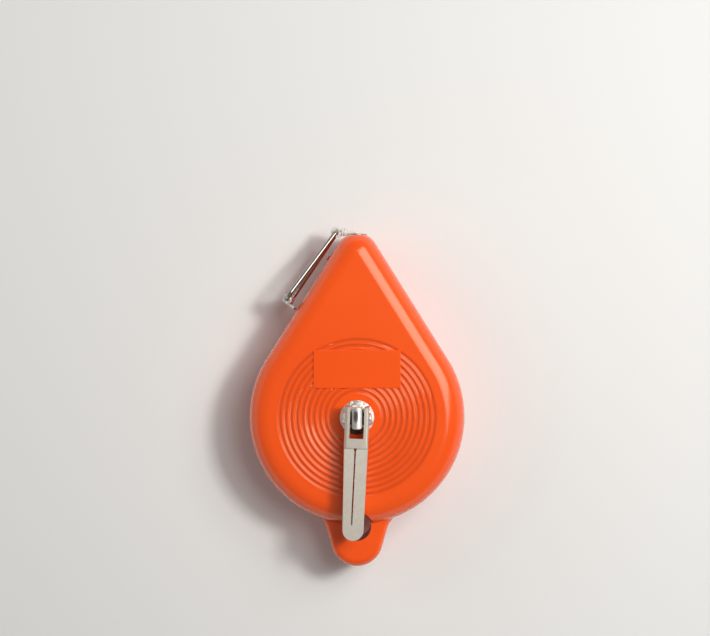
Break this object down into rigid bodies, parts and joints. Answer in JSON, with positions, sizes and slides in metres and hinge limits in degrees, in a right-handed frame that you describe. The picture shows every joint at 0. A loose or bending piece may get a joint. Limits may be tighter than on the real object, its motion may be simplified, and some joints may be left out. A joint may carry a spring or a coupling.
{
  "type": "chalk line reel",
  "caption": "Teardrop chalk line reel: die-cast case, folding crank on a line drum, sliding chalk door, nose ferrule and a wire hook on the line's end.",
  "frame": {"origin": "on the reel's axis, at the flat back face of the case", "axes": "+Y towards the nose that the line leaves by, +Z out of the front face, past the crank; +X to the right seen from the front"},
  "size_m": [0.071, 0.1124, 0.0338],
  "materials": {
    "case_paint": "glossy orange enamel over a zinc casting",
    "bright_steel": "bright nickel plate",
    "satin_steel": "satin nickel plate",
    "dark_steel": "plain zinc-plated steel",
    "bush_brass": "machined",
    "grey_felt": "dense wool felt",
    "white_line": "braided polyester line"
  },
  "bodies": {
    "case": {"front_case": "case_paint", "rear_case": "case_paint", "case_screws": "dark_steel", "nose_ferrule": "bright_steel", "felt_wiper": "grey_felt", "felt_plate": "dark_steel", "door_spring": "satin_steel", "front_bush": "bush_brass", "rear_bush": "bush_brass", "shaft_seal": "grey_felt", "line_run": "white_line"},
    "door": {"chalk_door": "case_paint"},
    "reel": {"spindle": "bright_steel", "hub_collar": "bright_steel", "drum_core": "dark_steel", "front_flange": "satin_steel", "rear_flange": "satin_steel", "drive_pin": "dark_steel", "thrust_washer": "dark_steel", "line_winding": "white_line"},
    "crank": {"crank_lever": "satin_steel", "crank_pin": "bright_steel", "crank_washers": "dark_steel"},
    "line_end": {"line_tail": "white_line", "line_knot": "white_line"},
    "hook": {"hook_bail": "bright_steel"},
    "claw": {"hook_claw": "bright_steel"}
  },
  "joints": [
    {"name": "drum_spin", "type": "hinge", "parent": "case", "child": "reel", "pos_m": [0, 0, 0.013], "axis": [0, 0, 1], "continuous": true},
    {"name": "crank_fold", "type": "hinge", "parent": "reel", "child": "crank", "pos_m": [0, 0, 0.0314], "axis": [-0.9993, 0.0366, 0], "range_deg": [0, 180]},
    {"name": "door_slide", "type": "slide", "parent": "case", "child": "door", "axis": [-0.531, -0.8474, 0], "range_m": [0, 0.0156]},
    {"name": "line_swing", "type": "hinge", "parent": "case", "child": "line_end", "pos_m": [0, 0.0611, 0.013], "axis": [0, 0, 1], "range_deg": [-180, 0]},
    {"name": "hook_swing", "type": "hinge", "parent": "line_end", "child": "hook", "pos_m": [-0.0068, 0.0611, 0.013], "axis": [0, 0, 1], "range_deg": [-109, 0]},
    {"name": "claw_flip", "type": "hinge", "parent": "hook", "child": "claw", "pos_m": [-0.02277, 0.03871, 0.013], "axis": [-0.071, 0.0506, 0.9962], "range_deg": [-180, 0]}
  ]
}
